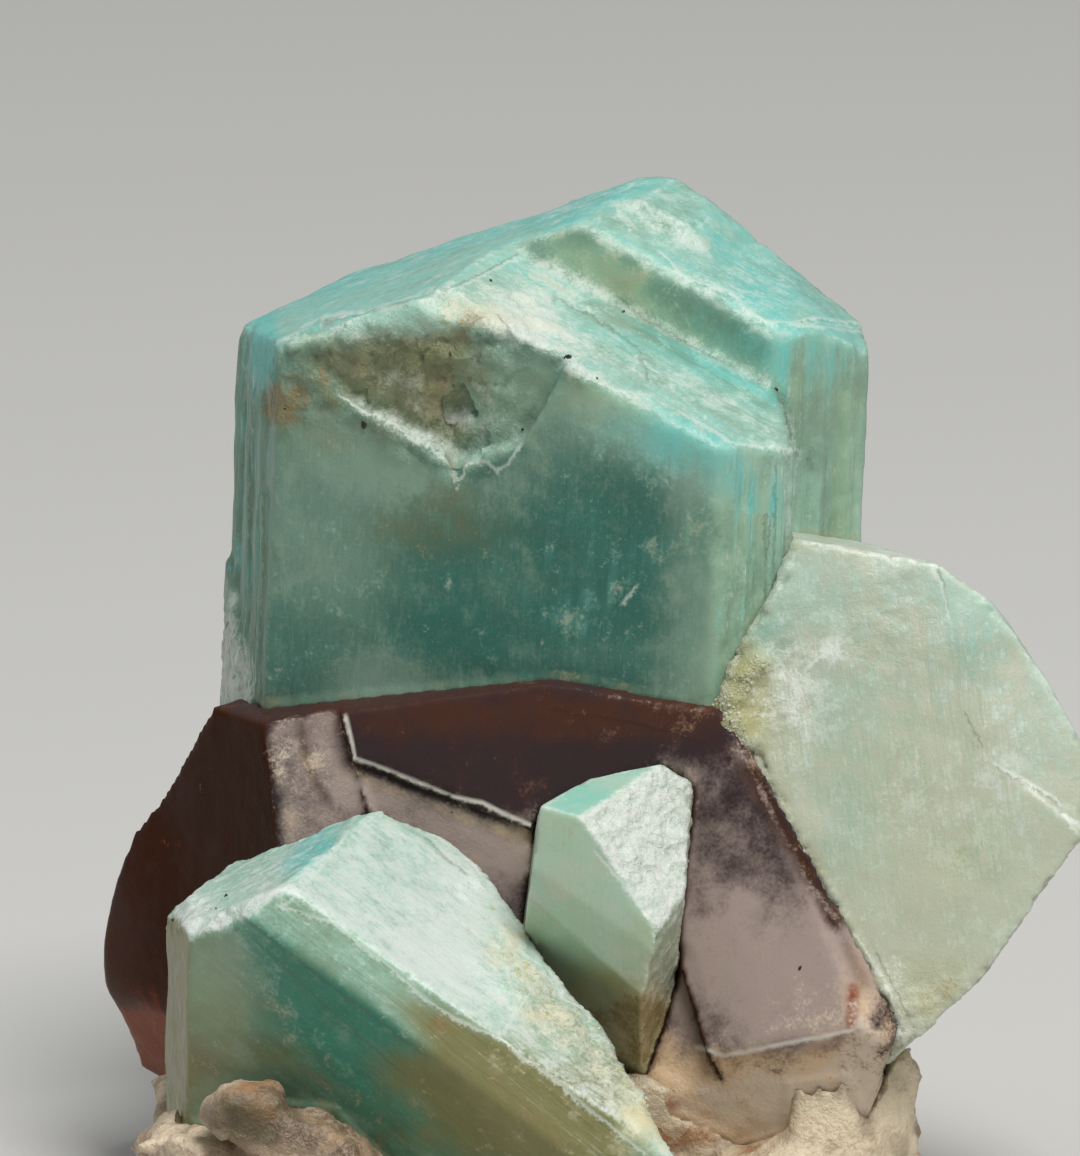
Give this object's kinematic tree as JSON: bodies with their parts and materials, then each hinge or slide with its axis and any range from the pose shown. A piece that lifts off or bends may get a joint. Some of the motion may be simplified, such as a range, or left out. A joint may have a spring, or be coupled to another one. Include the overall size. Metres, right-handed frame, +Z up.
{
  "type": "rough amazonite cluster",
  "caption": "Rough amazonite: blue-green feldspar crystals grown together with smoky quartz on a pale feldspar base, standing on a small flat foot.",
  "frame": {"origin": "on the surface it stands on, under the middle of the bounding box", "axes": "+Z up along the tall crystal, front side towards -Y, pale crystal towards +X"},
  "size_m": [0.0786, 0.0758, 0.0845],
  "materials": {
    "amazonite": "silky, striated, with chalky breaks",
    "pale_amazonite": "silky, milky",
    "smoky_quartz": "glassy, cloudy where it is broken",
    "feldspar": "rough, sugary"
  },
  "bodies": {
    "root": {"amazonite_tall": "amazonite", "amazonite_right": "pale_amazonite", "amazonite_front": "amazonite", "amazonite_small": "pale_amazonite", "smoky_quartz": "smoky_quartz", "feldspar_matrix": "feldspar"}
  },
  "joints": []
}
